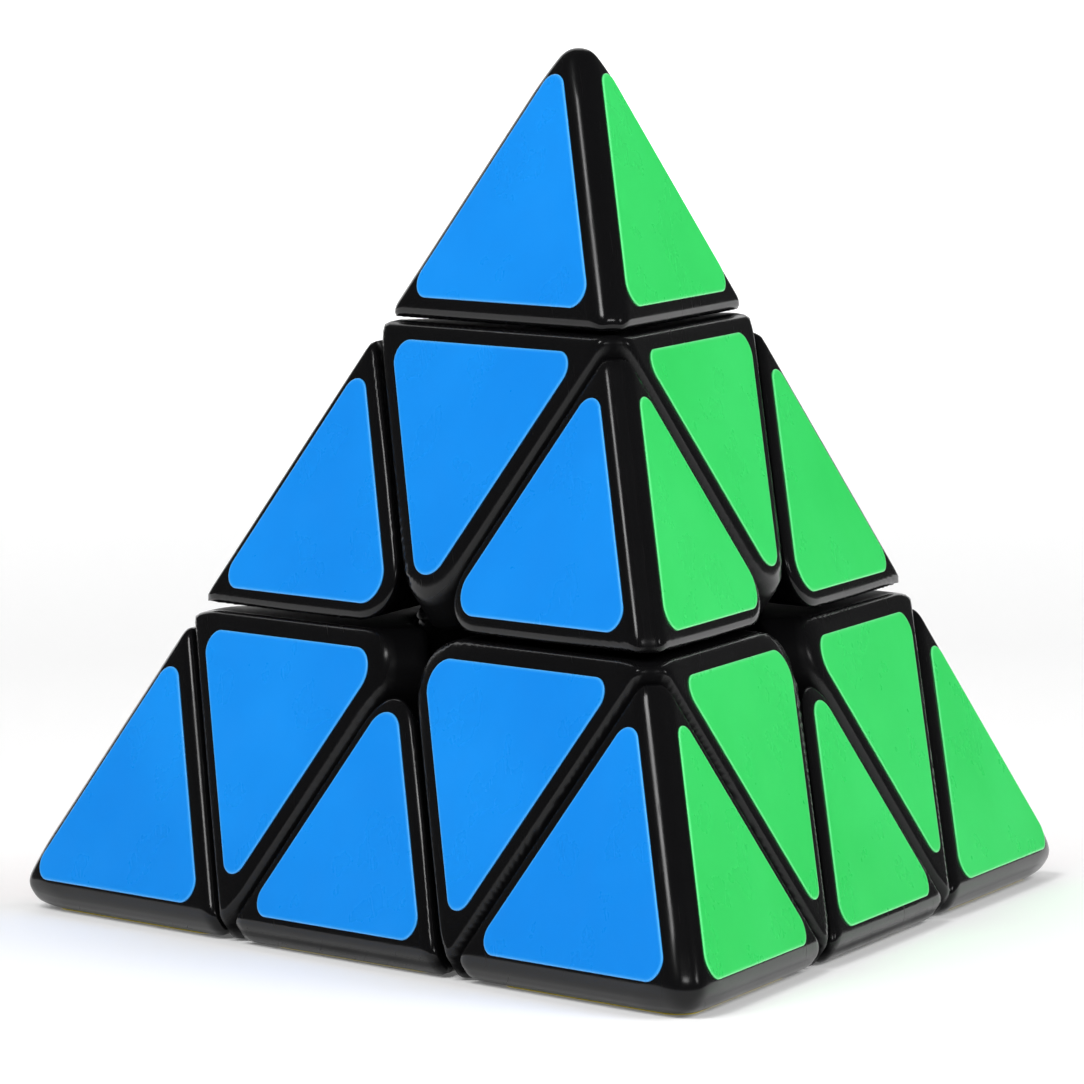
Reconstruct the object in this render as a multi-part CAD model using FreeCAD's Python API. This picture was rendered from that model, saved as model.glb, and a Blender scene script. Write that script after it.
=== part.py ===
import FreeCAD, Part
import math
import os

# Pyramid twisty puzzle, in millimetres, +Z up.
# The origin is the centre of the core. One vertex points up, one towards -Y (the front),
# and the other two lie to the left (-X) and right (+X) at the back.

# Envelope
EDGE_SHARP = 105.6        # edge of the sharp tetrahedron the rounded puzzle is cut from
TIP_RIDGE_RADIUS = 2.5    # rounding of the outer ridges and points of the four tips
EDGE_RIDGE_RADIUS = 2.1   # rounding of the outer ridge of the six edge pieces

# Cuts, as distances from the centre along the axis of each vertex
TIP_CUT = 34.5            # plane between a tip and its corner piece
LAYER_CUT = 7.35          # plane between a turning layer and the rest
CUT_GAP = 0.2             # clearance between the pieces across a cut
NOSE_REACH = 19.2         # distance from its own axis to the blunt noses of a corner piece
LAND_HEIGHT = 0.12        # raised land on a corner piece, which the tip turns over
LAND_MARGIN = 1.0         # how far the land is set in from the faces and the noses

# Rounding of the pieces
TIP_RIM_RADIUS = 1.2      # lower rim of a tip
CORNER_RIM_RADIUS = 0.5   # all rims of a corner piece
EDGE_RIM_RADIUS = 1.2     # rim of an edge piece
HEART_RADIUS = 4.5        # where six pieces meet at the middle of a face

# Stickers
STICKER_THICK = 0.15
STICKER_RIDGE_MARGIN = 3.05   # from the sharp ridge
TIP_STICKER_MARGIN = 2.44     # from the tip cut, on the tip
CORNER_TOP_MARGIN = 1.60      # from the tip cut, on the corner piece
CORNER_SIDE_MARGIN = 1.82     # from the layer cuts, on the corner piece
EDGE_STICKER_MARGIN = 2.23    # from the layer cuts, on the edge piece
STICKER_RADIUS = 1.7          # corner radius of a sticker
STICKER_HEART_RADIUS = 2.4    # corner radius nearest the middle of a face

# Mechanism inside
BALL_RADIUS = 9.0         # ball of the core
FOOT_INNER = 11.2         # inner radius of the feet of the edge pieces
FOOT_OUTER = 16.8         # outer radius of the feet
SHELL_INNER = 17.2        # inner radius of everything the feet slide under
FOOT_GAP = 0.6            # clearance between the feet across a layer plane
WELD_DEPTH = 0.3          # how far the body of an edge piece runs into its foot
NECK_ANGLE = 18.2         # half angle of the conical neck of a corner piece, degrees
NECK_GAP = 0.2            # clearance between the neck and the ball
NECK_TOP = 18.5           # where the neck is joined into the corner piece
ARM_RADIUS = 2.2          # arms of the core, which the corner pieces turn on
ARM_END = 15.4
ARM_BORE_RADIUS = 2.28
ARM_BORE_END = 15.6
SHANK_HOLE_RADIUS = 1.45
WELL_RADIUS = 4.0         # well for the spring, washer, screw head and tip stem
WELL_FLOOR = 18.0

# Tension screws, springs and washers
SHANK_RADIUS = 1.17
PILOT_RADIUS = 1.2
PILOT_START = 6.0
SCREW_START = 6.5
SPRING_MEAN_RADIUS = 2.6
SPRING_WIRE_RADIUS = 0.4
SPRING_PITCH = 1.35
WASHER_START = 25.0
WASHER_THICK = 0.6
WASHER_RADIUS = 3.4
WASHER_HOLE_RADIUS = 1.35
HEAD_RADIUS = 2.7
HEAD_HEIGHT = 2.0
HEAD_ROUNDING = 0.8
RECESS_LENGTH = 3.2
RECESS_WIDTH = 0.7
RECESS_DEPTH = 1.2

# Tip stems, which snap into the well
STEM_START = 29.4
STEM_RADIUS = 3.92
PEG_RADIUS = 2.98
PEG_END = 43.0
SOCKET_RADIUS = 3.0
SOCKET_END = 43.2
BEAD_RADIUS = 4.3
BEAD_START = 30.9
BEAD_HEIGHT = 1.0
BEAD_SLOPE = 0.38
GROOVE_RADIUS = 4.4
GROOVE_PLAY = 0.1

# Large enough to enclose the whole puzzle
SPACE = 400.0

Vector = FreeCAD.Vector

APEX = EDGE_SHARP * math.sqrt(6) / 4   # centre to sharp vertex
FACE = APEX / 3                        # centre to face
# How far a lower axis reaches sideways, and how fast an axis distance changes along a face
SLOPE = math.sqrt(8) / 3

AXES = {
    "top": Vector(0, 0, 1),
    "front": Vector(0, -SLOPE, -1 / 3),
    "left": Vector(-SLOPE * math.sqrt(3) / 2, SLOPE / 2, -1 / 3),
    "right": Vector(SLOPE * math.sqrt(3) / 2, SLOPE / 2, -1 / 3),
}
NAMES = list(AXES)
# Each face is named by its colour and lies opposite one vertex
FACE_COLOURS = {"top": "yellow", "front": "red", "left": "green", "right": "blue"}
EDGE_PAIRS = [(a, b) for k, a in enumerate(NAMES) for b in NAMES[k + 1:]]


def below(shape, direction, distance):
    """Keep the part of the shape whose distance along the direction is less than given."""
    block = Part.makeBox(SPACE, SPACE, SPACE, Vector(-SPACE / 2, -SPACE / 2, -SPACE))
    turn = FreeCAD.Rotation(Vector(0, 0, 1), direction)
    block.Placement = FreeCAD.Placement(direction * distance, turn)
    return shape.common(block)


def above(shape, direction, distance):
    """Keep the part of the shape whose distance along the direction is more than given."""
    return below(shape, -direction, -distance)


def lies_on(edge, direction, distance):
    """True if the edge lies in the plane at this distance along the direction."""
    first, last = edge.FirstParameter, edge.LastParameter
    points = [edge.valueAt(first), edge.valueAt((first + last) / 2), edge.valueAt(last)]
    return all(abs(p.dot(direction) - distance) < 1e-4 for p in points)


def frame_of(axis, towards):
    """Rotation whose local Z is the axis and whose local X leans towards a second one."""
    side = (towards - axis * towards.dot(axis)).normalize()
    return FreeCAD.Rotation(side, axis.cross(side), axis, "XYZ")


def carried(shape, a, b):
    """Copy a piece modelled at the top, facing the front, to vertex a facing vertex b."""
    home = frame_of(AXES["top"], AXES["front"])
    there = frame_of(AXES[a], AXES[b])
    moved = shape.copy()
    moved.Placement = FreeCAD.Placement(Vector(0, 0, 0), there * home.inverted())
    return moved


def neighbour(name):
    """Any other vertex, to orient a piece that has threefold symmetry."""
    return NAMES[(NAMES.index(name) + 1) % len(NAMES)]


def cylinder(radius, start, end):
    """Cylinder about +Z between two heights."""
    return Part.makeCylinder(radius, end - start, Vector(0, 0, start))


def revolved(points):
    """Solid of revolution about +Z from (radius, height) points."""
    wire = Part.makePolygon([Vector(r, 0, z) for r, z in points + points[:1]])
    return Part.Face(wire).revolve(Vector(0, 0, 0), Vector(0, 0, 1), 360)


def sharp_tetrahedron():
    """The sharp tetrahedron that encloses the puzzle."""
    solid = Part.makeBox(SPACE, SPACE, SPACE, Vector(-SPACE / 2, -SPACE / 2, -SPACE / 2))
    for axis in AXES.values():
        solid = above(solid, axis, -FACE)
    return solid


def rounded_tetrahedron(radius):
    """The tetrahedron with all its ridges and points rounded."""
    solid = sharp_tetrahedron()
    return solid.makeFillet(radius, solid.Edges)


def tip_cap():
    """Point of the puzzle, with a blind socket below for its stem."""
    floor = TIP_CUT + CUT_GAP / 2
    cap = above(rounded_tetrahedron(TIP_RIDGE_RADIUS), AXES["top"], floor)
    rim = [e for e in cap.Edges if lies_on(e, AXES["top"], floor)]
    cap = cap.makeFillet(TIP_RIM_RADIUS, rim)
    return cap.cut(cylinder(SOCKET_RADIUS, floor - 1, SOCKET_END))


def tip_stem():
    """Peg glued in the tip, with a beaded plug that turns in the well of the corner piece."""
    shoulder = TIP_CUT + CUT_GAP / 2
    bead_end = BEAD_START + BEAD_HEIGHT
    return revolved([
        (0, STEM_START),
        (STEM_RADIUS - BEAD_SLOPE, STEM_START),
        (STEM_RADIUS, STEM_START + BEAD_SLOPE),
        (STEM_RADIUS, BEAD_START),
        (BEAD_RADIUS, BEAD_START + BEAD_SLOPE),
        (BEAD_RADIUS, bead_end - BEAD_SLOPE),
        (STEM_RADIUS, bead_end),
        (STEM_RADIUS, shoulder),
        (PEG_RADIUS, shoulder),
        (PEG_RADIUS, PEG_END - BEAD_SLOPE),
        (PEG_RADIUS - BEAD_SLOPE, PEG_END),
        (0, PEG_END),
    ])


def stem_well():
    """Space of the well, with the groove the bead of the stem turns in."""
    ceiling = TIP_CUT + CUT_GAP / 2
    low = BEAD_START - GROOVE_PLAY
    high = BEAD_START + BEAD_HEIGHT + GROOVE_PLAY
    return revolved([
        (0, WELL_FLOOR),
        (WELL_RADIUS, WELL_FLOOR),
        (WELL_RADIUS, low),
        (GROOVE_RADIUS, low + BEAD_SLOPE),
        (GROOVE_RADIUS, high - BEAD_SLOPE),
        (WELL_RADIUS, high),
        (WELL_RADIUS, ceiling),
        (0, ceiling),
    ])


def corner_piece():
    """Axial corner piece: three-sided crown on a conical neck that turns on a core arm."""
    top = AXES["top"]
    ceiling = TIP_CUT - CUT_GAP / 2
    wall = LAYER_CUT - CUT_GAP / 2
    others = [AXES[name] for name in NAMES[1:]]
    noses = [Vector(axis.x, axis.y, 0).normalize() for axis in others]
    crown = above(below(sharp_tetrahedron(), top, ceiling), top, 0)
    for axis, nose in zip(others, noses):
        crown = below(below(crown, axis, wall), nose, NOSE_REACH)
    hearts = [e for e in crown.Edges if sum(lies_on(e, axis, wall) for axis in others) == 2]
    crown = crown.makeFillet(HEART_RADIUS, hearts)
    rims = []
    for edge in crown.Edges:
        on_face = any(lies_on(edge, axis, -FACE) for axis in others)
        on_nose = any(lies_on(edge, nose, NOSE_REACH) for nose in noses)
        if on_face or on_nose or lies_on(edge, top, ceiling):
            rims.append(edge)
    crown = crown.makeFillet(CORNER_RIM_RADIUS, rims)
    land = above(below(sharp_tetrahedron(), top, ceiling + LAND_HEIGHT), top, ceiling - 1)
    for axis, nose in zip(others, noses):
        land = below(above(land, axis, LAND_MARGIN - FACE), nose, NOSE_REACH - LAND_MARGIN)
    crown = above(crown.fuse(land), top, LAYER_CUT + CUT_GAP / 2)
    crown = crown.cut(Part.makeSphere(SHELL_INNER))
    spread = NECK_TOP * math.tan(math.radians(NECK_ANGLE))
    neck = Part.makeCone(0, spread, NECK_TOP).cut(Part.makeSphere(BALL_RADIUS + NECK_GAP))
    piece = crown.fuse(neck)
    piece = piece.cut(cylinder(ARM_BORE_RADIUS, 0, ARM_BORE_END))
    piece = piece.cut(cylinder(SHANK_HOLE_RADIUS, ARM_BORE_END - 1, WELL_FLOOR + 1))
    return piece.cut(stem_well()).removeSplitter()


def edge_piece():
    """Edge piece: wedge-shaped cap on a spherical foot held under two corner pieces."""
    inside = [AXES["top"], AXES["front"]]
    outside = [AXES["left"], AXES["right"]]
    wall = LAYER_CUT + CUT_GAP / 2
    wedge = rounded_tetrahedron(EDGE_RIDGE_RADIUS)
    for axis in inside:
        wedge = above(wedge, axis, wall)
    heart = [e for e in wedge.Edges if all(lies_on(e, axis, wall) for axis in inside)]
    web = wedge.common(Part.makeSphere(SHELL_INNER + WELD_DEPTH))
    web = web.cut(Part.makeSphere(FOOT_OUTER - WELD_DEPTH))
    wedge = wedge.makeFillet(HEART_RADIUS, heart)
    rim = [e for e in wedge.Edges if is_ridge(wedge, e)]
    wedge = wedge.makeFillet(EDGE_RIM_RADIUS, rim)
    wedge = wedge.cut(Part.makeSphere(SHELL_INNER))
    foot = Part.makeSphere(FOOT_OUTER).cut(Part.makeSphere(FOOT_INNER))
    for axis in inside:
        foot = above(foot, axis, FOOT_GAP / 2)
    for axis in outside:
        foot = below(foot, axis, -FOOT_GAP / 2)
        web = below(web, axis, -FOOT_GAP / 2)
    return wedge.fuse([web, foot]).removeSplitter()


def is_ridge(solid, edge):
    """True if the two faces at the edge meet at a sharp angle."""
    point = edge.valueAt((edge.FirstParameter + edge.LastParameter) / 2)
    normals = []
    for face in solid.Faces:
        if any(edge.isSame(other) for other in face.Edges):
            u, v = face.Surface.parameter(point)
            normals.append(face.normalAt(u, v))
    return len(normals) == 2 and normals[0].dot(normals[1]) < 0.99


def core_spider():
    """Ball with four arms, each drilled for a tension screw."""
    spider = Part.makeSphere(BALL_RADIUS)
    for name in NAMES:
        arm = cylinder(ARM_RADIUS, 0, ARM_END)
        spider = spider.fuse(carried(arm, name, neighbour(name)))
    for name in NAMES:
        pilot = cylinder(PILOT_RADIUS, PILOT_START, ARM_END + 1)
        spider = spider.cut(carried(pilot, name, neighbour(name)))
    return spider


def tension_screw():
    """Pan-head screw with a cross recess."""
    seat = WASHER_START + WASHER_THICK
    head = cylinder(HEAD_RADIUS, seat, seat + HEAD_HEIGHT)
    crown = [e for e in head.Edges if lies_on(e, AXES["top"], seat + HEAD_HEIGHT)]
    head = head.makeFillet(HEAD_ROUNDING, crown)
    depth = seat + HEAD_HEIGHT - RECESS_DEPTH
    for length, width in ((RECESS_LENGTH, RECESS_WIDTH), (RECESS_WIDTH, RECESS_LENGTH)):
        corner = Vector(-length / 2, -width / 2, depth)
        head = head.cut(Part.makeBox(length, width, HEAD_HEIGHT, corner))
    return head.fuse(cylinder(SHANK_RADIUS, SCREW_START, seat)).removeSplitter()


def tension_spring():
    """Compression spring with ground ends, from the floor of the well to the washer."""
    height = WASHER_START - WELL_FLOOR
    helix = Part.makeHelix(SPRING_PITCH, height, SPRING_MEAN_RADIUS)
    helix.translate(Vector(0, 0, WELL_FLOOR))
    start = Vector(SPRING_MEAN_RADIUS, 0, WELL_FLOOR)
    ring = Part.makeCircle(SPRING_WIRE_RADIUS, start, Vector(0, 1, 0))
    coil = Part.Wire(helix).makePipeShell([Part.Wire(ring)], True, True)
    slab = cylinder(SPRING_MEAN_RADIUS + 2 * SPRING_WIRE_RADIUS, WELL_FLOOR, WASHER_START)
    return coil.common(slab)


def washer():
    """Plain washer between the spring and the screw head."""
    end = WASHER_START + WASHER_THICK
    disc = cylinder(WASHER_RADIUS, WASHER_START, end)
    return disc.cut(cylinder(WASHER_HOLE_RADIUS, WASHER_START - 1, end + 1))


def sticker(face_name, lines, radii):
    """Rounded triangle of vinyl on a face.

    lines are three (vertex name, distance along its axis) lines on the face. radii are the
    corner radii: the first is for the corner opposite the first line, and so on.
    """
    outward = -AXES[face_name]
    corners = []
    for k in range(3):
        (a, da), (b, db) = lines[(k + 1) % 3], lines[(k + 2) % 3]
        corners.append(meeting_point((AXES[a], da), (AXES[b], db), (outward, FACE)))
    blank = Part.Face(Part.makePolygon(corners + corners[:1])).extrude(outward * STICKER_THICK)
    for corner, radius in zip(corners, radii):
        upright = [e for e in blank.Edges if stands_at(e, corner, outward)]
        blank = blank.makeFillet(radius, upright)
    return blank


def meeting_point(first, second, third):
    """Point common to three planes, each a (unit normal, distance) pair."""
    (a, da), (b, db), (c, dc) = first, second, third
    scale = a.dot(b.cross(c))
    return (b.cross(c) * da + c.cross(a) * db + a.cross(b) * dc) * (1 / scale)


def stands_at(edge, corner, outward):
    """True if the edge rises from this corner along the outward direction."""
    ends = [vertex.Point for vertex in edge.Vertexes]
    middle = (ends[0] + ends[-1]) * 0.5
    return (middle - corner - outward * (STICKER_THICK / 2)).Length < 1e-4


def ridge_line(a):
    """Line along the ridge that a face shares with the face opposite vertex a, set in."""
    return (a, -FACE + STICKER_RIDGE_MARGIN * SLOPE)


def stickers():
    """All 36 stickers, by node name."""
    shapes = {}
    for face_name, colour in FACE_COLOURS.items():
        around = [name for name in NAMES if name != face_name]
        for name in around:
            b, c = [other for other in around if other != name]
            tip_line = (name, TIP_CUT + TIP_STICKER_MARGIN * SLOPE)
            lines = [tip_line, ridge_line(b), ridge_line(c)]
            radii = [STICKER_RADIUS] * 3
            shapes[f"sticker_tip_{name}_{colour}"] = sticker(face_name, lines, radii)
            top_line = (name, TIP_CUT - CORNER_TOP_MARGIN * SLOPE)
            side = LAYER_CUT - CORNER_SIDE_MARGIN * SLOPE
            radii = [STICKER_HEART_RADIUS, STICKER_RADIUS, STICKER_RADIUS]
            lines = [top_line, (b, side), (c, side)]
            shapes[f"sticker_corner_{name}_{colour}"] = sticker(face_name, lines, radii)
        for a, b in EDGE_PAIRS:
            if face_name in (a, b):
                continue
            c = [other for other in around if other not in (a, b)][0]
            side = LAYER_CUT + EDGE_STICKER_MARGIN * SLOPE
            lines = [ridge_line(c), (a, side), (b, side)]
            radii = [STICKER_HEART_RADIUS, STICKER_RADIUS, STICKER_RADIUS]
            shapes[f"sticker_edge_{a}_{b}_{colour}"] = sticker(face_name, lines, radii)
    return shapes


def around_core(shape):
    """One copy of the shape on each of the four axes, as a compound."""
    return Part.makeCompound([carried(shape, name, neighbour(name)) for name in NAMES])


def build():
    """Model every piece once, then place the copies."""
    shapes = {
        "core": core_spider(),
        "tension_screws": around_core(tension_screw()),
        "tension_springs": around_core(tension_spring()),
        "spring_washers": around_core(washer()),
    }
    cap, stem, corner, edge = tip_cap(), tip_stem(), corner_piece(), edge_piece()
    for name in NAMES:
        shapes[f"tip_{name}"] = carried(cap, name, neighbour(name))
        shapes[f"stem_{name}"] = carried(stem, name, neighbour(name))
        shapes[f"corner_{name}"] = carried(corner, name, neighbour(name))
    for a, b in EDGE_PAIRS:
        shapes[f"edge_{a}_{b}"] = carried(edge, a, b)
    shapes.update(stickers())
    return shapes


os.makedirs("parts", exist_ok=True)
for node, shape in build().items():
    shape.exportStep(f"parts/{node}.step")
    print(node, shape.isValid(), len(shape.Solids), round(shape.Volume, 2))
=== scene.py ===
import logging
import math
from collections.abc import Callable, Sequence
from dataclasses import dataclass, field
from enum import Enum
from itertools import combinations

import bpy
import numpy as np
from mathutils import Matrix, Vector


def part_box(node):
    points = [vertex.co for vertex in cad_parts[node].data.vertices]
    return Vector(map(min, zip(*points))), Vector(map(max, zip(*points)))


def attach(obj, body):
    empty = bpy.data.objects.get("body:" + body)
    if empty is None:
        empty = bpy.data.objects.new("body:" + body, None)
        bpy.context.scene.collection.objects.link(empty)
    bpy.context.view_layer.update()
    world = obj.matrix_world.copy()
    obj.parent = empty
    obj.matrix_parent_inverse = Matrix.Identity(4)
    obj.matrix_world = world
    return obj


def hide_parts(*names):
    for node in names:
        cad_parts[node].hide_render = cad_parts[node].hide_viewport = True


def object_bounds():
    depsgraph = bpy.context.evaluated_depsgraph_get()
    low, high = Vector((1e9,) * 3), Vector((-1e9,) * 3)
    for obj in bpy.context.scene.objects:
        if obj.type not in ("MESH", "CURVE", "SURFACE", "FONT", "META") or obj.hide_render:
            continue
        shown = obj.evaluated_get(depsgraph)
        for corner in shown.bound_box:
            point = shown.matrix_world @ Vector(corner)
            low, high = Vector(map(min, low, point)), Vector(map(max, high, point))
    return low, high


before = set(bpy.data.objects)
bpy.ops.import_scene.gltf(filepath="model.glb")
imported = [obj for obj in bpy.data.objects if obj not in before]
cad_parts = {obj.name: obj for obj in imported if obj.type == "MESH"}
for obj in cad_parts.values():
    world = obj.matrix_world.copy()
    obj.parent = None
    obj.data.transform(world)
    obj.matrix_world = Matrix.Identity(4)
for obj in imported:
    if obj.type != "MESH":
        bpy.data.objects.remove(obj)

LOG = logging.getLogger("puzzle")
CAD_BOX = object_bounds()

MM = 0.001
# Distance of a lower vertex axis from +Z, and how fast an axis distance changes along a face.
SLOPE = math.sqrt(8) / 3
NAMES = ("top", "front", "left", "right")
AXES = {
    "top": np.array([0.0, 0.0, 1.0]),
    "front": np.array([0.0, -SLOPE, -1 / 3]),
    "left": np.array([-SLOPE * math.sqrt(3) / 2, SLOPE / 2, -1 / 3]),
    "right": np.array([SLOPE * math.sqrt(3) / 2, SLOPE / 2, -1 / 3]),
}
EDGE_PAIRS = tuple(combinations(NAMES, 2))

Level = Callable[[np.ndarray], np.ndarray]
Colour = tuple[float, float, float]
Socket = bpy.types.NodeSocket
Lines = Sequence[tuple[str, float]]


class FaceColour(Enum):
    """Sticker colour of a face, with the vertex the face lies opposite to."""

    YELLOW = "top"
    RED = "front"
    GREEN = "left"
    BLUE = "right"

    @property
    def slot(self) -> str:
        """Material slot of the stickers of this face."""
        return f"sticker_{self.name.lower()}"


# ---------------------------------------------------------------- surfaces worked out with numpy


def rounded(levels: Sequence[np.ndarray], radius: float) -> np.ndarray:
    """Level of the body inside all the given levels, with its edges rounded.

    Formula: add the radius to each level, clip at zero, take the root of the sum of squares,
    and take the radius off again. Where only one level is near zero its face stays exact.

    Args:
        levels: Signed distances, negative inside.
        radius: How far from an edge the rounding starts.

    Returns:
        The signed level of the rounded body, never below minus the radius.
    """
    total = sum(np.clip(level + radius, 0.0, None) ** 2 for level in levels)
    return np.sqrt(total) - radius


def bevels(faces: Sequence[np.ndarray], depth: float) -> list[np.ndarray]:
    """Levels of the flat bevels along the ridges where pairs of faces meet.

    Formula: the bevel's normal is the mean of the two face normals, scaled to unit length,
    and the bevel lies the depth below the sharp ridge.

    Args:
        faces: Levels of faces that meet at the corner angle of a tetrahedron.
        depth: Distance of the bevels from the sharp ridges.

    Returns:
        One level for each pair of faces.
    """
    length = 2 / math.sqrt(3)
    return [(first + second) / length + depth for first, second in combinations(faces, 2)]


def cast(level: Level, starts: np.ndarray, directions: np.ndarray, reach: float) -> np.ndarray:
    """First points where rays leave a body.

    Formula: walk all rays out in equal steps until the level turns positive, then halve the
    last step thirty-two times.

    Args:
        level: Signed level of the body, negative inside.
        starts: Start of each ray, inside the body.
        directions: Unit direction of each ray.
        reach: Length by which every ray has left the body.

    Returns:
        The points on the surface, in the shape of the rays.
    """
    steps, halvings = 80, 32
    shape = directions.shape[:-1] + (1,)
    near, far = np.zeros(shape), np.full(shape, reach)
    found = np.zeros(shape, bool)
    for k in range(1, steps + 1):
        distance = reach * k / steps
        outside = level(starts + directions * distance)[..., None] >= 0
        fresh = outside & ~found
        far[fresh] = distance
        near[fresh] = distance - reach / steps
        found |= outside
    for _ in range(halvings):
        middle = (near + far) / 2
        outside = level(starts + directions * middle)[..., None] >= 0
        far = np.where(outside, middle, far)
        near = np.where(outside, near, middle)
    return starts + directions * far


def basis(axis: np.ndarray, towards: np.ndarray) -> np.ndarray:
    """Rotation matrix whose Z column is the axis and whose X column leans towards a vector."""
    side = towards - axis * (towards @ axis)
    side = side / np.linalg.norm(side)
    return np.column_stack([side, np.cross(axis, side), axis])


def neighbour(name: str) -> str:
    """Any other vertex, to orient a piece that has threefold symmetry."""
    return NAMES[(NAMES.index(name) + 1) % len(NAMES)]


def wrapped_quads(rows: int, columns: int, close_rows: bool) -> np.ndarray:
    """Corner indices of the quads of a grid whose columns wrap round.

    Args:
        rows: Number of rows of points.
        columns: Number of points in each row.
        close_rows: Whether the last row joins the first, as on a ring.

    Returns:
        An array of four indices for each quad.
    """
    count = rows if close_rows else rows - 1
    i, j = np.meshgrid(np.arange(count), np.arange(columns), indexing="ij")
    below = (i + 1) % rows
    beside = (j + 1) % columns
    corners = [i * columns + j, i * columns + beside, below * columns + beside, below * columns + j]
    return np.stack(corners, axis=-1).reshape(-1, 4)


@dataclass(frozen=True)
class Skin:
    """Points and faces of one closed surface."""

    points: np.ndarray
    quads: np.ndarray
    triangles: np.ndarray = field(default_factory=lambda: np.zeros((0, 3), int))
    marks: dict[str, np.ndarray] = field(default_factory=dict)

    @staticmethod
    def ring(grid: np.ndarray) -> "Skin":
        """Skin of a grid of points that closes both ways, like a tyre."""
        rows, columns = grid.shape[:2]
        return Skin(grid.reshape(-1, 3), wrapped_quads(rows, columns, True))

    @staticmethod
    def ball(grid: np.ndarray, first: np.ndarray, last: np.ndarray) -> "Skin":
        """Skin of a grid whose rows close round and whose ends each meet in one point.

        Args:
            grid: Rows of points between the two ends.
            first: The point before the first row.
            last: The point after the last row.

        Returns:
            The closed skin.
        """
        rows, columns = grid.shape[:2]
        points = np.vstack([grid.reshape(-1, 3), first, last])
        around = np.arange(columns)
        beside = (around + 1) % columns
        start = np.full(columns, rows * columns)
        tail = (rows - 1) * columns
        head_fan = np.column_stack([start, beside, around])
        tail_fan = np.column_stack([start + 1, tail + around, tail + beside])
        return Skin(points, wrapped_quads(rows, columns, False), np.vstack([head_fan, tail_fan]))

    def carried(self, a: str, b: str) -> "Skin":
        """Skin turned from the top, facing the front, to vertex a facing vertex b."""
        turn = basis(AXES[a], AXES[b]) @ basis(AXES["top"], AXES["front"]).T
        return Skin(self.points @ turn.T, self.quads, self.triangles, self.marks)

    def with_depth(self, face: float) -> "Skin":
        """Skin marked with how far inside the flat faces of the puzzle it is.

        Formula: the mark rises from 0 at the start depth to 1 at the end depth, or keeps a
        higher value it already has.

        Args:
            face: Distance of the flat faces from the centre.

        Returns:
            The skin with the mark "inner".
        """
        start, end = 0.45, 1.1
        nearest = np.max([-(self.points @ axis) for axis in AXES.values()], axis=0)
        inner = np.clip((face - nearest - start) / (end - start), 0.0, 1.0)
        inner = np.maximum(inner, self.marks.get("inner", 0.0))
        return Skin(self.points, self.quads, self.triangles, {"inner": inner})

    def with_flat(self, axis: np.ndarray, distance: float) -> "Skin":
        """Skin marked on one flat side that faces another part of the puzzle.

        Formula: the mark is 1 on the plane at the distance along the axis and falls to 0
        over a short step below it.

        Args:
            axis: Outward direction of the flat side.
            distance: Distance of the flat side from the centre, along the axis.

        Returns:
            The skin with the mark "inner".
        """
        step = 0.02
        flat = np.clip((self.points @ axis - distance) / step + 1.0, 0.0, 1.0)
        return Skin(self.points, self.quads, self.triangles, {"inner": flat})

    def faces_outwards(self) -> bool:
        """True if the volume enclosed, summed from the faces, is positive."""
        halves = [self.quads[:, [0, 1, 2]], self.quads[:, [0, 2, 3]], self.triangles]
        a, b, c = (self.points[np.vstack(halves)[:, k]] for k in range(3))
        return float(np.einsum("ij,ij->i", a, np.cross(b, c)).sum()) > 0

    def mesh(self, name: str) -> bpy.types.Mesh:
        """Blender mesh of the skin, in metres, shaded smooth, with its faces outwards.

        Args:
            name: Name of the mesh.

        Returns:
            The new mesh.
        """
        quads, triangles = self.quads, self.triangles
        if not self.faces_outwards():
            quads, triangles = quads[:, ::-1], triangles[:, ::-1]
        loops = np.concatenate([quads.ravel(), triangles.ravel()])
        sizes = np.concatenate([np.full(len(quads), 4), np.full(len(triangles), 3)])
        starts = np.concatenate([[0], np.cumsum(sizes)[:-1]])
        mesh = bpy.data.meshes.new(name)
        mesh.vertices.add(len(self.points))
        mesh.vertices.foreach_set("co", (self.points * MM).astype(np.float32).ravel())
        mesh.loops.add(len(loops))
        mesh.loops.foreach_set("vertex_index", loops.astype(np.int32))
        mesh.polygons.add(len(sizes))
        mesh.polygons.foreach_set("loop_start", starts.astype(np.int32))
        mesh.polygons.foreach_set("use_smooth", np.ones(len(sizes), bool))
        mesh.update(calc_edges=True)
        for mark, values in self.marks.items():
            layer = mesh.attributes.new(mark, "FLOAT", "POINT")
            layer.data.foreach_set("value", values.astype(np.float32))
        return mesh


def globe(
    rows: int, columns: int, bias: float = 0.0, fold: int = 3, phase: float = 0.0
) -> np.ndarray:
    """Unit directions on rows of latitude, without the two poles.

    Formula: latitude falls evenly from pole to pole. Longitude is even, less a sine of the
    longitude times the fold, which crowds the columns at the ridges of the piece.

    Args:
        rows: Rows between the poles.
        columns: Points on each row.
        bias: How strongly the columns crowd, from 0 to 1.
        fold: Number of places where they crowd.
        phase: Longitude of the first such place.

    Returns:
        Directions as a grid of rows by columns by three.
    """
    polar = np.linspace(0, math.pi, rows + 2)[1:-1, None]
    even = np.linspace(0, 2 * math.pi, columns, endpoint=False)[None, :]
    turn = even - bias / fold * np.sin(fold * (even - phase))
    x, y = np.sin(polar) * np.cos(turn), np.sin(polar) * np.sin(turn)
    return np.stack([x, y, np.cos(polar) * np.ones_like(turn)], axis=-1)


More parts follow.
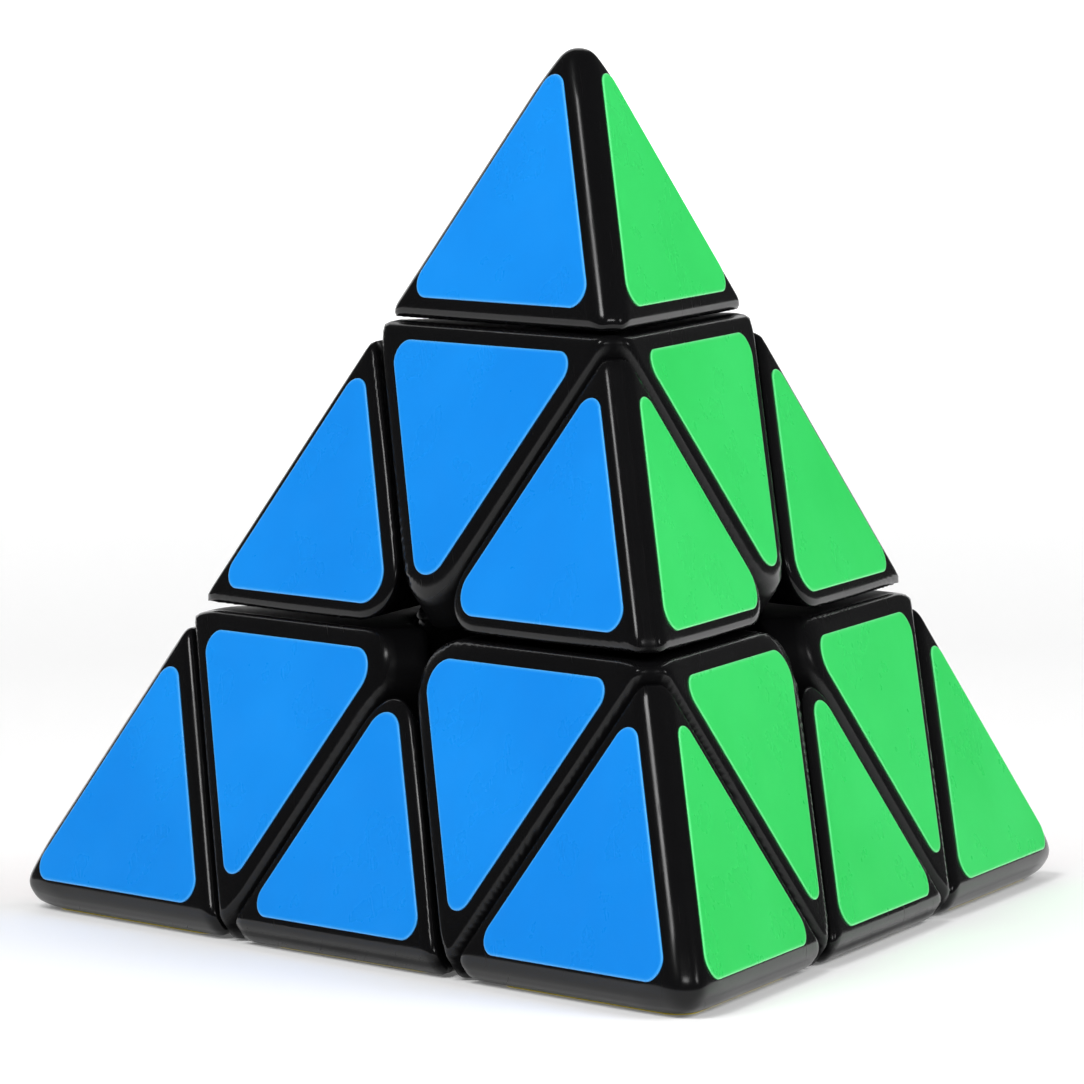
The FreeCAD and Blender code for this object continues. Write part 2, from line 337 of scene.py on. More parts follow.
def revolved(profile: Sequence[tuple[float, float]], columns: int) -> Skin:
    """Ring skin of a closed profile carried round +Z.

    Formula: each profile point (radius, height) becomes radius cos t, radius sin t, height.

    Args:
        profile: Closed outline of (radius, height) points in millimetres.
        columns: Number of steps round the axis.

    Returns:
        The closed skin.
    """
    radius, height = (np.array(column)[:, None] for column in zip(*profile))
    turn = np.linspace(0, 2 * math.pi, columns, endpoint=False)[None, :]
    x, y = radius * np.cos(turn), radius * np.sin(turn)
    return Skin.ring(np.stack([x, y, height * np.ones_like(turn)], axis=-1))


def softened(outline: Sequence[tuple[float, float]], radius: float) -> list[tuple[float, float]]:
    """Outline with each corner cut by a short curve.

    Formula: a quadratic curve through the points one radius before and after each corner.

    Args:
        outline: Closed outline of (x, y) points.
        radius: Distance from the corner where the curve starts.

    Returns:
        The softened outline.
    """
    points = np.array(outline, float)
    blend = np.linspace(0, 1, 5)[:, None]
    result: list[tuple[float, float]] = []
    for before, corner, after in zip(np.roll(points, 1, 0), points, np.roll(points, -1, 0)):
        into = (before - corner) / np.linalg.norm(before - corner)
        away = (after - corner) / np.linalg.norm(after - corner)
        start, end = corner + into * radius, corner + away * radius
        curve = (1 - blend) ** 2 * start + 2 * blend * (1 - blend) * corner + blend**2 * end
        result += [tuple(point) for point in curve]
    return result


# ---------------------------------------------------------------- finishes


class NodeSketch:
    """Short way to build the nodes of one material."""

    def __init__(self, name: str) -> None:
        """Start a material with one principled shader and an output."""
        self.material = bpy.data.materials.new(name)
        self.material.use_nodes = True
        self.tree = self.material.node_tree
        self.shader = self.tree.nodes["Principled BSDF"]
        self.place = self.add("ShaderNodeTexCoord").outputs["Object"]

    def add(self, kind: str, **settings: object) -> bpy.types.Node:
        """New node with its own settings applied."""
        node = self.tree.nodes.new(kind)
        for key, value in settings.items():
            setattr(node, key, value)
        return node

    def fix(self, **values: object) -> None:
        """Set constants on the shader's own sockets; underscores stand for spaces."""
        for key, value in values.items():
            self.shader.inputs[key.replace("_", " ")].default_value = value

    def link(self, output: Socket, target: Socket) -> None:
        """Join an output to an input."""
        self.tree.links.new(output, target)

    def stretched(self, scale: tuple[float, float, float], turn: float = 0.0) -> Socket:
        """Object coordinates, turned and stretched."""
        node = self.add("ShaderNodeMapping")
        node.inputs["Scale"].default_value = scale
        node.inputs["Rotation"].default_value = (turn, turn / 2, turn)
        self.link(self.place, node.inputs["Vector"])
        return node.outputs["Vector"]

    def noise(self, scale: float, detail: float = 3.0, place: Socket | None = None) -> Socket:
        """Noise value, from 0 to 1.

        Args:
            scale: Cells per metre.
            detail: Octaves.
            place: Where it is read; the object coordinates if left out.

        Returns:
            The factor output.
        """
        node = self.add("ShaderNodeTexNoise")
        node.inputs["Scale"].default_value = scale
        node.inputs["Detail"].default_value = detail
        self.link(place or self.place, node.inputs["Vector"])
        return node.outputs["Fac"]

    def ranged(self, value: Socket, start: float, end: float, low: float, high: float) -> Socket:
        """Value mapped from the span start to end onto the span low to high, and clamped."""
        node = self.add("ShaderNodeMapRange")
        spans = {"From Min": start, "From Max": end, "To Min": low, "To Max": high}
        for key, number in spans.items():
            node.inputs[key].default_value = number
        self.link(value, node.inputs["Value"])
        return node.outputs["Result"]

    def summed(self, a: Socket, b: Socket) -> Socket:
        """Sum of two values."""
        node = self.add("ShaderNodeMath", operation="ADD")
        self.link(a, node.inputs[0])
        self.link(b, node.inputs[1])
        return node.outputs[0]

    def mixed(self, factor: Socket, a: Colour | Socket, b: Colour | Socket) -> Socket:
        """Colour between a and b; each is a colour or an output."""
        node = self.add("ShaderNodeMix", data_type="RGBA")
        self.link(factor, node.inputs["Factor"])
        for socket, colour in ((node.inputs[6], a), (node.inputs[7], b)):
            if isinstance(colour, Socket):
                self.link(colour, socket)
            else:
                socket.default_value = (*colour, 1.0)
        return node.outputs[2]

    def bumps(self, layers: Sequence[tuple[Socket, float, float]]) -> None:
        """Stack bump layers, each (height, strength, depth in metres), onto the shader."""
        normal = None
        for height, strength, depth in layers:
            node = self.add("ShaderNodeBump")
            node.inputs["Strength"].default_value = strength
            node.inputs["Distance"].default_value = depth
            self.link(height, node.inputs["Height"])
            if normal:
                self.link(normal, node.inputs["Normal"])
            normal = node.outputs["Normal"]
        self.link(normal, self.shader.inputs["Normal"])


@dataclass(frozen=True)
class MouldedPlastic:
    """Black injection-moulded plastic with flow marks, hairlines and handling haze.

    Where a piece carries the mark "inner", in the cuts between pieces, it is matt and dull.
    """

    name: str
    dark: Colour = (0.0022, 0.0022, 0.0025)
    light: Colour = (0.0046, 0.0045, 0.0049)
    smooth: float = 0.15
    hazy: float = 0.22
    matt: float = 0.3
    sheen: float = 0.3
    inner_sheen: float = 0.03

    def build(self) -> bpy.types.Material:
        """Make the material."""
        sketch = NodeSketch(self.name)
        flow = sketch.noise(55.0, 4.0)
        grain = sketch.noise(2600.0, 2.0)
        haze = sketch.noise(140.0, 5.0)
        hairs = sketch.noise(1.0, 2.0, sketch.stretched((5200.0, 160.0, 240.0), 0.7))
        hair = sketch.ranged(hairs, 0.66, 0.74, 0.0, 0.16)
        inner = sketch.add("ShaderNodeAttribute", attribute_name="inner").outputs["Fac"]
        worn = sketch.summed(sketch.ranged(haze, 0.38, 0.66, self.smooth, self.hazy), hair)
        rough = sketch.summed(worn, sketch.ranged(inner, 0.0, 1.0, 0.0, self.matt))
        sketch.link(sketch.mixed(flow, self.dark, self.light), sketch.shader.inputs["Base Color"])
        sketch.link(rough, sketch.shader.inputs["Roughness"])
        sketch.fix(IOR=1.5)
        sheen = sketch.ranged(inner, 0.0, 1.0, self.sheen, self.inner_sheen)
        sketch.link(sheen, sketch.shader.inputs["Specular IOR Level"])
        sketch.bumps([(haze, 0.05, 0.00006), (grain, 0.06, 0.000012)])
        return sketch.material


@dataclass(frozen=True)
class VinylSticker:
    """Plain coloured vinyl with a painted highlight along its rim, faint orange peel and light
    scuffs.
    """

    name: str
    deep: Colour
    bright: Colour
    # Paler colour towards the edge, a painted highlight along the sticker's rim.
    rim: Colour

    def build(self) -> bpy.types.Material:
        """Make the material."""
        sketch = NodeSketch(self.name)
        tone = sketch.ranged(sketch.noise(42.0, 3.0), 0.35, 0.65, 0.0, 1.0)
        peel = sketch.noise(950.0, 2.0)
        scuffs = sketch.noise(1.0, 3.0, sketch.stretched((3400.0, 220.0, 300.0), 1.1))
        scuff = sketch.ranged(scuffs, 0.62, 0.8, 0.0, 0.06)
        wear = sketch.ranged(sketch.noise(210.0, 5.0), 0.4, 0.7, 0.27, 0.36)
        # The mark rim rises where the sticker's edge curves down; there the colour turns to the rim
        # colour, a painted highlight.
        cut = sketch.add("ShaderNodeAttribute", attribute_name="rim").outputs["Fac"]
        colour = sketch.mixed(cut, sketch.mixed(tone, self.deep, self.bright), self.rim)
        sketch.link(colour, sketch.shader.inputs["Base Color"])
        sketch.link(sketch.summed(wear, scuff), sketch.shader.inputs["Roughness"])
        sketch.fix(IOR=1.46, Coat_Weight=0.15, Coat_Roughness=0.2)
        sketch.bumps([(peel, 0.03, 0.00001), (scuffs, 0.02, 0.000004)])
        return sketch.material


@dataclass(frozen=True)
class PlatedSteel:
    """Zinc-plated steel with fine draw lines and dull patches."""

    name: str
    tone: Colour
    shade: Colour

    def build(self) -> bpy.types.Material:
        """Make the material."""
        sketch = NodeSketch(self.name)
        lines = sketch.noise(1.0, 3.0, sketch.stretched((900.0, 900.0, 9000.0)))
        patches = sketch.noise(700.0, 4.0)
        metal = sketch.mixed(patches, self.shade, self.tone)
        sketch.link(metal, sketch.shader.inputs["Base Color"])
        rough = sketch.ranged(lines, 0.3, 0.7, 0.2, 0.42)
        sketch.link(rough, sketch.shader.inputs["Roughness"])
        sketch.fix(Metallic=1.0)
        sketch.bumps([(lines, 0.12, 0.00002)])
        return sketch.material


@dataclass(frozen=True)
class StudioPaper:
    """Seamless white paper that glows a little, so that it stays pale to its far end.

    The glow rises with the distance from the puzzle between the near and far distances.
    """

    name: str
    white: Colour = (0.93, 0.93, 0.93)
    fibre_shade: float = 0.985
    near_glow: float = 0.1
    far_glow: float = 1.0
    near: float = 0.25
    far: float = 1.2

    def build(self) -> bpy.types.Material:
        """Make the material."""
        sketch = NodeSketch(self.name)
        fibre = sketch.noise(900.0, 3.0)
        off_white = tuple(channel * self.fibre_shade for channel in self.white)
        sketch.link(sketch.mixed(fibre, off_white, self.white), sketch.shader.inputs["Base Color"])
        sketch.fix(Roughness=0.9, Emission_Color=(1, 1, 1, 1))
        length = sketch.add("ShaderNodeVectorMath", operation="LENGTH")
        sketch.link(sketch.place, length.inputs[0])
        away = length.outputs["Value"]
        glow = sketch.ranged(away, self.near, self.far, self.near_glow, self.far_glow)
        sketch.link(glow, sketch.shader.inputs["Emission Strength"])
        sketch.shader.inputs["Specular IOR Level"].default_value = 0.1
        return sketch.material


class Palette:
    """Every finish of the puzzle, each made once."""

    def __init__(self) -> None:
        """Build the materials."""
        plate = {"tone": (0.66, 0.66, 0.68), "shade": (0.42, 0.42, 0.44)}
        wire = {"tone": (0.5, 0.5, 0.52), "shade": (0.28, 0.28, 0.3)}
        # Deep tone, bright tone and the paler rim colour of each vinyl; the rim colour is a painted
        # highlight along the sticker's edge.
        vinyls = {
            FaceColour.BLUE: ((0.004, 0.262, 0.86), (0.006, 0.3, 0.93), (0.05, 0.4, 0.95)),
            FaceColour.GREEN: ((0.032, 0.72, 0.13), (0.045, 0.78, 0.16), (0.12, 0.84, 0.25)),
            FaceColour.RED: ((0.72, 0.006, 0.008), (0.82, 0.012, 0.012), (0.88, 0.07, 0.06)),
            FaceColour.YELLOW: ((0.86, 0.66, 0.004), (0.92, 0.74, 0.01), (0.95, 0.8, 0.1)),
        }
        self.shell = MouldedPlastic("gloss black moulding").build()
        self.inner = MouldedPlastic("inner black moulding", smooth=0.34, hazy=0.5).build()
        self.steel = PlatedSteel("zinc plated steel", **plate).build()
        self.spring = PlatedSteel("spring steel", **wire).build()
        self.stickers = {
            face: VinylSticker(f"{face.name.lower()} vinyl", *tones).build()
            for face, tones in vinyls.items()
        }


# ---------------------------------------------------------------- the puzzle


@dataclass(frozen=True)
class Cuts:
    """Distances from the centre, in millimetres; the face, the tip floor and the crown top are read
    from the imported nodes.
    """

    face: float
    tip_floor: float
    crown_top: float
    layer: float = 7.35
    gap: float = 0.2
    land: float = 0.12

    @staticmethod
    def read() -> "Cuts":
        """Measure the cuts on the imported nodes."""
        return Cuts(
            face=-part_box("tip_left")[0].z / MM,
            tip_floor=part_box("tip_top")[0].z / MM,
            crown_top=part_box("corner_top")[1].z / MM - Cuts.land,
        )

    @property
    def tip_cut(self) -> float:
        """Plane midway between a tip and its corner piece."""
        return (self.tip_floor + self.crown_top) / 2


def show(skin: Skin, name: str, material: bpy.types.Material, body: str) -> bpy.types.Object:
    """Make a piece of the skin, dress it and let it ride on its body.

    Args:
        skin: The closed surface.
        name: Name of the piece.
        material: Its finish.
        body: CAD body it moves with.

    Returns:
        The new object.
    """
    piece = bpy.data.objects.new(name, skin.mesh(name))
    piece.data.materials.append(material)
    bpy.context.scene.collection.objects.link(piece)
    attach(piece, body)
    LOG.info("%s: %d points on body %s", name, len(skin.points), body)
    return piece


@dataclass(frozen=True)
class TipCap:
    """The four points of the puzzle, in millimetres."""

    cuts: Cuts
    bevel: float = 1.78
    ridge: float = 0.8
    rim: float = 1.7
    apex: float = 59.66
    dome: float = 2.8
    middle: float = 42.0
    reach: float = 34.0
    rows: int = 170
    columns: int = 252
    crowding: float = 0.55

    def level(self, p: np.ndarray) -> np.ndarray:
        """Bevelled faces rounded together, then with the domed point, then with the floor.

        The dome is a ball where the rise above its middle is more than the distance from
        the axis, and a cone of 45 degrees that touches the ball below that.
        """
        faces = [-(p @ AXES[name]) - self.cuts.face for name in NAMES[1:]]
        sides = rounded([*faces, *bevels(faces, self.bevel)], self.ridge)
        radius = np.hypot(p[..., 0], p[..., 1])
        rise = p[..., 2] - (self.apex - self.dome)
        ball, cone = np.hypot(radius, rise), (radius + rise) * math.sqrt(0.5)
        dome = np.where(rise > radius, ball, cone) - self.dome
        head = rounded([sides, dome], self.ridge)
        return rounded([head, self.cuts.tip_floor - p[..., 2]], self.rim)

    def skin(self) -> Skin:
        """Surface of the tip at the top, cast out from a point on its axis."""
        middle = np.array([0.0, 0.0, self.middle])
        directions = globe(self.rows, self.columns, self.crowding, phase=-math.pi / 2)
        grid = cast(self.level, middle, directions, self.reach)
        ends = cast(self.level, middle, np.stack([AXES["top"], -AXES["top"]]), self.reach)
        return Skin.ball(grid, ends[0], ends[1]).with_flat(-AXES["top"], -self.cuts.tip_floor)

    def build(self, palette: Palette) -> None:
        """Make the four tips and dress their stems."""
        home = self.skin()
        for name in NAMES:
            skin = home.carried(name, neighbour(name))
            piece = show(skin, f"tip_cap_{name}", palette.shell, f"tip_{name}")
            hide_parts(f"tip_{name}")
            dress(f"stem_{name}", palette.inner)


@dataclass(frozen=True)
class CornerPiece:
    """The four axial pieces: a crown with a spring well, on a conical neck."""

    cuts: Cuts
    rim: float = 0.55
    heart: float = 6.5
    nose: float = 19.2
    land_margin: float = 1.0
    land_rim: float = 0.05
    inner: float = 17.2
    well: float = 4.0
    small: float = 0.35
    ring_radius: float = 9.0
    ring_height: float = 25.5
    reach: float = 30.0
    rows: int = 168
    columns: int = 246
    crowding: float = 0.3
    neck_slope: float = math.tan(math.radians(18.2))
    neck_top: float = 18.4
    neck_bottom: float = 9.0
    neck_rim: float = 0.15
    neck_columns: int = 96
    bore: float = 2.28

    def level(self, p: np.ndarray) -> np.ndarray:
        """Faces, top, noses and walls of the crown, then its floor, hollow underside and well.

        The three layer walls are first rounded into each other by the large heart radius, and
        the result is rounded against the faces, the top and the noses by the rim radius.
        """
        others = [AXES[name] for name in NAMES[1:]]
        wall = self.cuts.layer - self.cuts.gap / 2
        walls = rounded([p @ axis - wall for axis in others], self.heart)
        faces = [-(p @ axis) - self.cuts.face for axis in others]
        noses = [p[..., :2] @ (axis[:2] / SLOPE) - self.nose for axis in others]
        crown = rounded([walls, *faces, *noses, p[..., 2] - self.cuts.crown_top], self.rim)
        inset = [side + self.land_margin for side in (*faces, *noses)]
        land = rounded([*inset, p[..., 2] - self.cuts.crown_top - self.cuts.land], self.land_rim)
        floor = self.cuts.layer + self.cuts.gap / 2 - p[..., 2]
        hollow = self.inner - np.linalg.norm(p, axis=-1)
        well = self.well - np.hypot(p[..., 0], p[..., 1])
        raised = np.minimum(crown, np.maximum(land, walls))
        return rounded([raised, floor, hollow, well], self.small)

    def skin(self) -> Skin:
        """Surface of the crown at the top, cast out from a ring round its well.

        Formula: the longitude is even, less a sine of three times the longitude, which
        crowds the columns at the three noses.
        """
        even = np.linspace(0, 2 * math.pi, self.columns, endpoint=False)[None, :]
        turn = even - self.crowding / 3 * np.sin(3 * (even + math.pi / 2))
        tilt = np.linspace(0, 2 * math.pi, self.rows, endpoint=False)[:, None]
        out = np.stack([np.cos(turn), np.sin(turn), np.zeros_like(turn)], axis=-1)
        up = np.array([0.0, 0.0, 1.0])
        directions = np.cos(tilt)[..., None] * out + np.sin(tilt)[..., None] * up
        starts = self.ring_radius * out + self.ring_height * up
        grid = cast(self.level, starts * np.ones_like(directions), directions, self.reach)
        return Skin.ring(grid).with_flat(AXES["top"], self.cuts.crown_top)

    def neck(self) -> Skin:
        """Conical neck, bored for the arm of the core."""
        outline = [
            (self.bore, self.neck_bottom),
            (self.neck_slope * self.neck_bottom, self.neck_bottom),
            (self.neck_slope * self.neck_top, self.neck_top),
            (self.bore, self.neck_top),
        ]
        return revolved(softened(outline, self.neck_rim), self.neck_columns)

    def build(self, palette: Palette) -> None:
        """Make the four corner pieces."""
        crown, neck = self.skin(), self.neck()
        for name in NAMES:
            side = neighbour(name)
            body = f"corner_{name}"
            skin = crown.carried(name, side).with_depth(self.cuts.face)
            piece = show(skin, f"corner_crown_{name}", palette.shell, body)
            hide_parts(body)
            piece = show(neck.carried(name, side), f"corner_neck_{name}", palette.inner, body)


@dataclass(frozen=True)
class EdgePiece:
    """The six edge pieces: a wedge-shaped cap on a spherical foot."""

    cuts: Cuts
    bevel: float = 1.78
    ridge: float = 0.5
    heart: float = 6.5
    rim: float = 1.65
    inner: float = 17.2
    small: float = 0.3
    middle: float = 25.0
    reach: float = 34.0
    rows: int = 160
    columns: int = 240
    crowding: float = 0.25
    foot_rows: int = 90
    foot_columns: int = 132
    foot_inner: float = 11.2
    foot_outer: float = 16.8
    foot_gap: float = 0.3
    foot_middle: float = 14.0
    pad: float = 0.45
    pad_slope: float = 0.25
    foot_rim: float = 0.5

    def axes(self) -> tuple[np.ndarray, np.ndarray, np.ndarray, np.ndarray]:
        """Axes of the two layers the piece is in, then of the two it is not in."""
        return AXES["top"], AXES["front"], AXES["left"], AXES["right"]

    def outward(self) -> np.ndarray:
        """Unit direction from the centre to the middle of the ridge."""
        a, b, _, _ = self.axes()
        return (a + b) / np.linalg.norm(a + b)

    def level(self, p: np.ndarray) -> np.ndarray:
        """Two walls rounded together, two faces rounded together, and the rim between them."""
        a, b, c, d = self.axes()
        wall = self.cuts.layer + self.cuts.gap / 2
        walls = rounded([wall - p @ a, wall - p @ b], self.heart)
        faces = [-(p @ c) - self.cuts.face, -(p @ d) - self.cuts.face]
        faces = rounded([*faces, *bevels(faces, self.bevel)], self.ridge)
        hollow = self.inner - np.linalg.norm(p, axis=-1)
        return rounded([rounded([walls, faces], self.rim), hollow], self.small)

    def foot_level(self, p: np.ndarray) -> np.ndarray:
        """Thick patch of a sphere between four layer planes, raised where it meets the cap."""
        a, b, c, d = self.axes()
        wall = self.cuts.layer + self.cuts.gap / 2
        inside = np.minimum(p @ a, p @ b) - wall
        raised = self.pad * np.clip(inside / self.pad_slope, 0.0, 1.0)
        distance = np.linalg.norm(p, axis=-1)
        planes = [self.foot_gap + side for side in (-(p @ a), -(p @ b), p @ c, p @ d)]
        shell = [distance - self.foot_outer - raised, self.foot_inner - distance]
        return rounded([*planes, *shell], self.foot_rim)

    def cast_ball(self, level: Level, middle: float, rows: int, columns: int, bias: float) -> Skin:
        """Surface cast out from a point on the outward axis, with its poles on the flat faces.

        Args:
            level: Level of the body.
            middle: Distance of the point from the centre.
            rows: Rows between the poles.
            columns: Points on each row.
            bias: How strongly the columns crowd at the ridge and the noses.

        Returns:
            The closed skin.
        """
        a, b, _, _ = self.axes()
        across = np.cross(a, b)
        turn = basis(across / np.linalg.norm(across), self.outward())
        directions = globe(rows, columns, bias, 4) @ turn.T
        start = self.outward() * middle
        grid = cast(level, start, directions, self.reach)
        ends = cast(level, start, np.stack([turn[:, 2], -turn[:, 2]]), self.reach)
        return Skin.ball(grid, ends[0], ends[1])

    def build(self, palette: Palette) -> None:
        """Make the six edge pieces."""
        cap = self.cast_ball(self.level, self.middle, self.rows, self.columns, self.crowding)
        foot_grid = (self.foot_rows, self.foot_columns)
        foot = self.cast_ball(self.foot_level, self.foot_middle, *foot_grid, 0.0)
        for a, b in EDGE_PAIRS:
            body = f"edge_{a}_{b}"
            skin = cap.carried(a, b).with_depth(self.cuts.face)
            piece = show(skin, f"edge_cap_{a}_{b}", palette.shell, body)
            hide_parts(body)
            piece = show(foot.carried(a, b), f"edge_foot_{a}_{b}", palette.inner, body)


@dataclass(frozen=True)
class StickerSet:
    """All the vinyl stickers: thin rounded triangles with a soft cut rim that carries a painted
    highlight.
    """

    cuts: Cuts
    thick: float = 0.15
    ridge_margin: float = 3.05
    tip_margin: float = 2.44
    crown_top_margin: float = 1.60
    crown_side_margin: float = 1.82
    edge_margin: float = 2.23
    radius: float = 1.7
    heart_radius: float = 2.4
    # Rings from the middle of the top, over the rim, to the middle of the underside:
    # how far in from the outline, the share of the thickness, and the paleness of the rim,
    # which is a painted highlight.
    rings: tuple[tuple[float, float, float], ...] = (
        (1.20, 1.00, 0.0), (0.45, 1.00, 0.0), (0.30, 1.00, 0.05), (0.20, 0.99, 0.35),
        (0.12, 0.95, 0.75), (0.06, 0.86, 1.0), (0.02, 0.68, 1.0), (0.00, 0.45, 0.9),
        (0.00, 0.00, 0.7), (1.20, 0.00, 0.0),
    )
    arc_steps: int = 20

    def outline(
        self, corners: np.ndarray, radii: Sequence[float], inset: float, outward: np.ndarray
    ) -> np.ndarray:
        """Rounded triangle on the face.

        Formula: each corner arc keeps its centre, which lies twice its radius from the sharp
        corner towards the middle, and its radius shrinks by the inset.

        Args:
            corners: The three sharp corners.
            radii: Their radii.
            inset: How far inside the outline.
            outward: Normal of the face.

        Returns:
            Points round the outline.
        """
        middle = corners.mean(axis=0)
        sweep = np.linspace(-math.pi / 3, math.pi / 3, self.arc_steps)[:, None]
        arcs = []
        for corner, radius in zip(corners, radii):
            away = (corner - middle) / np.linalg.norm(corner - middle)
            side = np.cross(outward, away)
            centre = corner - away * 2 * radius
            arcs.append(centre + (radius - inset) * (np.cos(sweep) * away + np.sin(sweep) * side))
        return np.vstack(arcs)

    def skin(self, face: FaceColour, lines: Lines, radii: Sequence[float]) -> Skin:
        """Closed skin of one sticker.

        Formula: the corners are where pairs of lines cross on the face; rings of the outline
        are set in and lifted to give the top, the soft rim and the underside.

        Args:
            face: Face the sticker is on.
            lines: Three (vertex name, axis distance) lines that bound it.
            radii: Corner radii, each opposite the line of the same place.

        Returns:
            The skin, with the paleness of its rim, a painted highlight.
        """
        outward = -AXES[face.value]
        corners = []
        for k in range(3):
            (a, da), (b, db) = lines[(k + 1) % 3], lines[(k + 2) % 3]
            planes = np.stack([AXES[a], AXES[b], outward])
            corners.append(np.linalg.solve(planes, [da, db, self.cuts.face]))
        corners = np.array(corners)
        if np.cross(corners[1] - corners[0], corners[2] - corners[0]) @ outward < 0:
            corners, radii = corners[::-1], radii[::-1]
        grid = np.stack([
            self.outline(corners, radii, inset, outward) + outward * self.thick * lift
            for inset, lift, _ in self.rings
        ])
        middle = corners.mean(axis=0)
        skin = Skin.ball(grid, middle + outward * self.thick, middle)
        # Paleness of each ring, a painted highlight along the rim.
        pale = np.repeat([ring[2] for ring in self.rings], grid.shape[1])
        marks = {"rim": np.concatenate([pale, [0.0, 0.0]])}
        return Skin(skin.points, skin.quads, skin.triangles, marks)

    def layouts(self, face: FaceColour) -> dict[str, tuple[Lines, list[float]]]:
        """Lines and radii of the nine stickers of a face, by the place of each.

        Args:
            face: The face.

        Returns:
            Place, such as tip_top, to its lines and corner radii.
        """
        cuts = self.cuts
        around = [name for name in NAMES if name != face.value]
        ridge = self.ridge_margin * SLOPE - cuts.face
        small, mixed = [self.radius] * 3, [self.heart_radius, self.radius, self.radius]
        crown_side = cuts.layer - self.crown_side_margin * SLOPE
        edge_side = cuts.layer + self.edge_margin * SLOPE
        found = {}
        for name in around:
            b, c = (other for other in around if other != name)
            floor = (name, cuts.tip_cut + self.tip_margin * SLOPE)
            top = (name, cuts.tip_cut - self.crown_top_margin * SLOPE)
            found[f"tip_{name}"] = ([floor, (b, ridge), (c, ridge)], small)
            found[f"corner_{name}"] = ([top, (b, crown_side), (c, crown_side)], mixed)
        for a, b in combinations(around, 2):
            c = next(other for other in around if other not in (a, b))
            found[f"edge_{a}_{b}"] = ([(c, ridge), (a, edge_side), (b, edge_side)], mixed)
        return found

    def build(self, palette: Palette) -> None:
        """Make the stickers of all four faces."""
        for face in FaceColour:
            for place, (lines, radii) in self.layouts(face).items():
                name = f"{place}_{face.name.lower()}"
                skin = self.skin(face, lines, radii)
                piece = show(skin, f"vinyl_{name}", palette.stickers[face], place)
                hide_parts(f"sticker_{name}")


def dress(node: str, material: bpy.types.Material) -> None:
    """Give a carried-over CAD node its finish."""
    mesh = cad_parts[node].data
    mesh.materials.clear()
    mesh.materials.append(material)
    LOG.info("%s: %s", node, material.name)


@dataclass(frozen=True)
class Mechanism:
    """Core, screws, washers and springs, which keep their CAD shapes."""

    palette: Palette

    def build(self) -> None:
        """Dress the inner nodes."""
        dress("core", self.palette.inner)
        dress("tension_screws", self.palette.steel)
        dress("spring_washers", self.palette.steel)
        dress("tension_springs", self.palette.spring)


# ---------------------------------------------------------------- the studio


@dataclass(frozen=True)
class Softbox:
    """One rectangular studio light aimed at the puzzle.

    Its bearing is in degrees from the front, positive to the right, and its height in degrees
    above the floor.
    """

    name: str
    bearing: float
    height: float
    distance: float
    size: tuple[float, float]
    radiance: float
    glints: bool = True

    def build(self) -> None:
        """Hang the light and turn it to the puzzle."""
        data = bpy.data.lights.new(self.name, "AREA")
        data.shape = "RECTANGLE"
        data.size, data.size_y = self.size
        data.energy = self.radiance * math.pi * self.size[0] * self.size[1]
        lamp = bpy.data.objects.new(self.name, data)
        bearing, height = math.radians(self.bearing), math.radians(self.height)
        flat = Vector((math.sin(bearing), -math.cos(bearing), 0.0)) * math.cos(height)
        towards = flat + Vector((0.0, 0.0, math.sin(height)))
        lamp.location = towards * self.distance
        lamp.rotation_euler = (-towards).to_track_quat("-Z", "Y").to_euler()
        lamp.visible_glossy = self.glints
        bpy.context.scene.collection.objects.link(lamp)
        LOG.info("%s: %.2f W", self.name, data.energy)


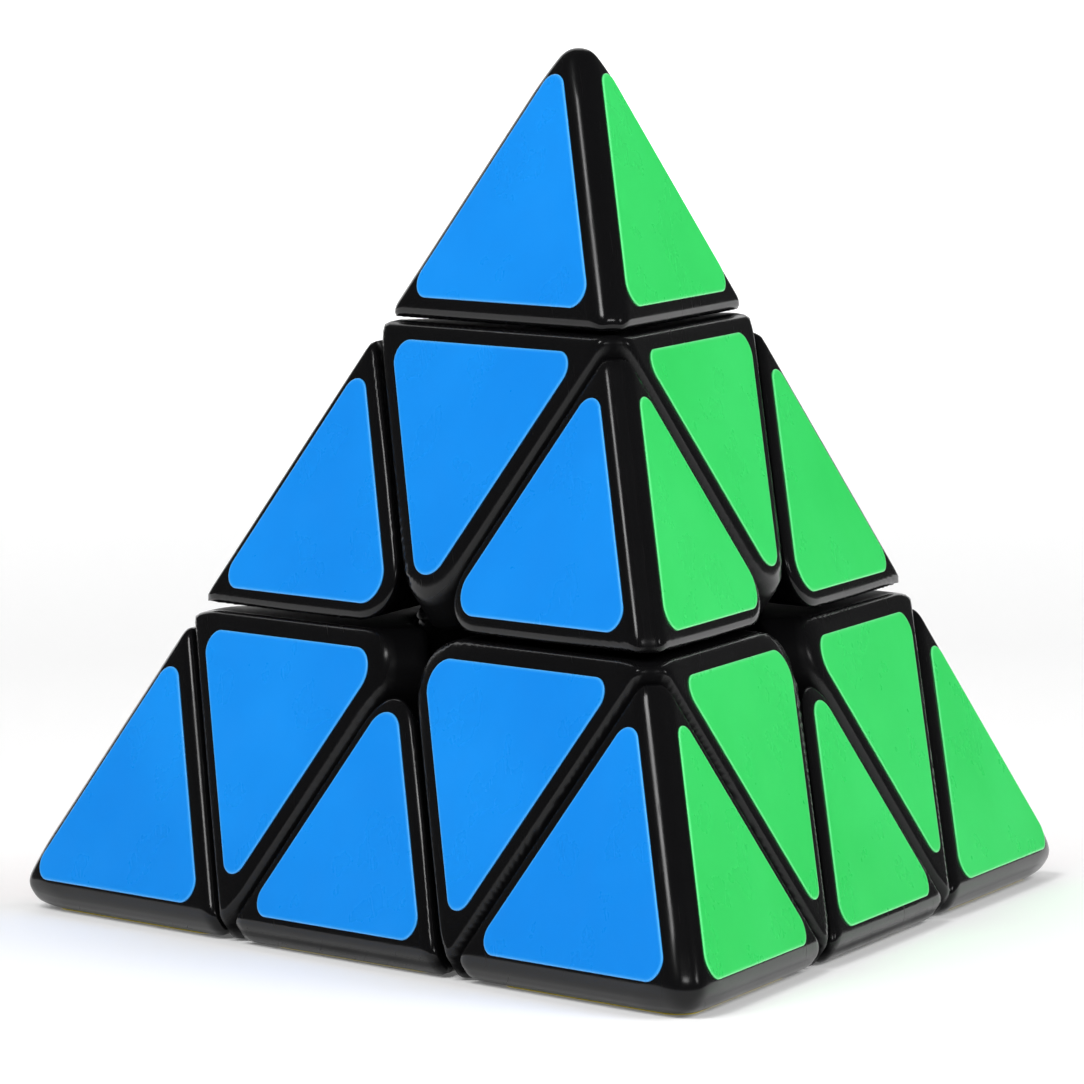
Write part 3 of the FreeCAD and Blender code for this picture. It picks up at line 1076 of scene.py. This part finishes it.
@dataclass(frozen=True)
class Studio:
    """White seamless paper, soft lights and the camera."""

    floor: float
    azimuth: float = 8.4124
    elevation: float = 5.3645
    roll: float = -0.6358
    camera_at: tuple[float, float, float] = (-0.11517, -0.75277, 0.08586)
    lens: float = 276.57
    half_width: float = 1.2
    near: float = -2.5
    bend_at: float = 1.6
    bend_radius: float = 0.6
    height: float = 3.0
    sky: float = 0.07

    def paper(self) -> None:
        """Seamless paper: a straight floor, a quarter-circle bend and a straight wall.

        Formula: the profile in y and z is carried straight along x.
        """
        bend = np.linspace(0, math.pi / 2, 24)
        across = self.bend_at + self.bend_radius * np.sin(bend)
        up = self.bend_radius * (1 - np.cos(bend))
        y = np.concatenate([[self.near], across, [self.bend_at + self.bend_radius]])
        z = np.concatenate([[0.0], up, [self.height]]) + self.floor
        x = np.array([-self.half_width, self.half_width])
        grid = np.stack(np.broadcast_arrays(x[None, :], y[:, None], z[:, None]), axis=-1)
        rows = len(y) - 1
        start = np.arange(rows) * 2
        faces = np.column_stack([start, start + 1, start + 3, start + 2])
        mesh = bpy.data.meshes.new("seamless_paper")
        mesh.from_pydata(grid.reshape(-1, 3).tolist(), [], faces.tolist())
        mesh.polygons.foreach_set("use_smooth", np.ones(rows, bool))
        mesh.materials.append(StudioPaper("seamless paper").build())
        sheet = bpy.data.objects.new("seamless_paper", mesh)
        bpy.context.scene.collection.objects.link(sheet)

    def lights(self) -> None:
        """Soft lights round the puzzle and a dim even sky."""
        world = bpy.data.worlds.new("studio")
        world.use_nodes = True
        background = world.node_tree.nodes["Background"]
        background.inputs["Color"].default_value = (1, 1, 1, 1)
        background.inputs["Strength"].default_value = self.sky
        bpy.context.scene.world = world
        boxes = [
            Softbox("key", -46.0, 57.0, 1.1, (0.22, 0.22), 13.0),
            Softbox("front", 8.0, 38.0, 1.2, (0.2, 0.2), 10.0),
            Softbox("right", 55.0, 30.0, 1.2, (0.2, 0.2), 8.0),
            Softbox("left fill", -52.0, 46.0, 1.3, (0.9, 0.9), 4.0, glints=False),
            Softbox("right fill", 60.0, 34.0, 1.3, (0.9, 0.9), 3.9, glints=False),
        ]
        for box in boxes:
            box.build()

    def camera(self) -> None:
        """Long-lens camera; its frame comes from the azimuth, elevation and roll."""
        data = bpy.data.cameras.new("camera")
        data.lens, data.sensor_width = self.lens, 36.0
        data.clip_start, data.clip_end = 0.05, 20.0
        data.dof.use_dof = False
        turn = Matrix.Rotation(math.radians(-self.azimuth), 4, "Z")
        turn = turn @ Matrix.Rotation(math.radians(90 - self.elevation), 4, "X")
        turn = turn @ Matrix.Rotation(math.radians(self.roll), 4, "Z")
        camera = bpy.data.objects.new("camera", data)
        camera.matrix_world = Matrix.Translation(self.camera_at) @ turn
        bpy.context.scene.collection.objects.link(camera)
        bpy.context.scene.camera = camera

    def build(self) -> None:
        """Set up the studio."""
        self.paper()
        self.lights()
        self.camera()
        scene = bpy.context.scene
        scene.view_settings.view_transform = "Standard"
        scene.view_settings.look = "None"


def main() -> None:
    """Build the puzzle piece by piece, then the studio."""
    logging.basicConfig(level=logging.INFO, format="%(name)s %(message)s")
    palette = Palette()
    cuts = Cuts.read()
    TipCap(cuts).build(palette)
    CornerPiece(cuts).build(palette)
    EdgePiece(cuts).build(palette)
    StickerSet(cuts).build(palette)
    Mechanism(palette).build()
    Studio(floor=CAD_BOX[0].z).build()


if __name__ == "__main__":
    main()
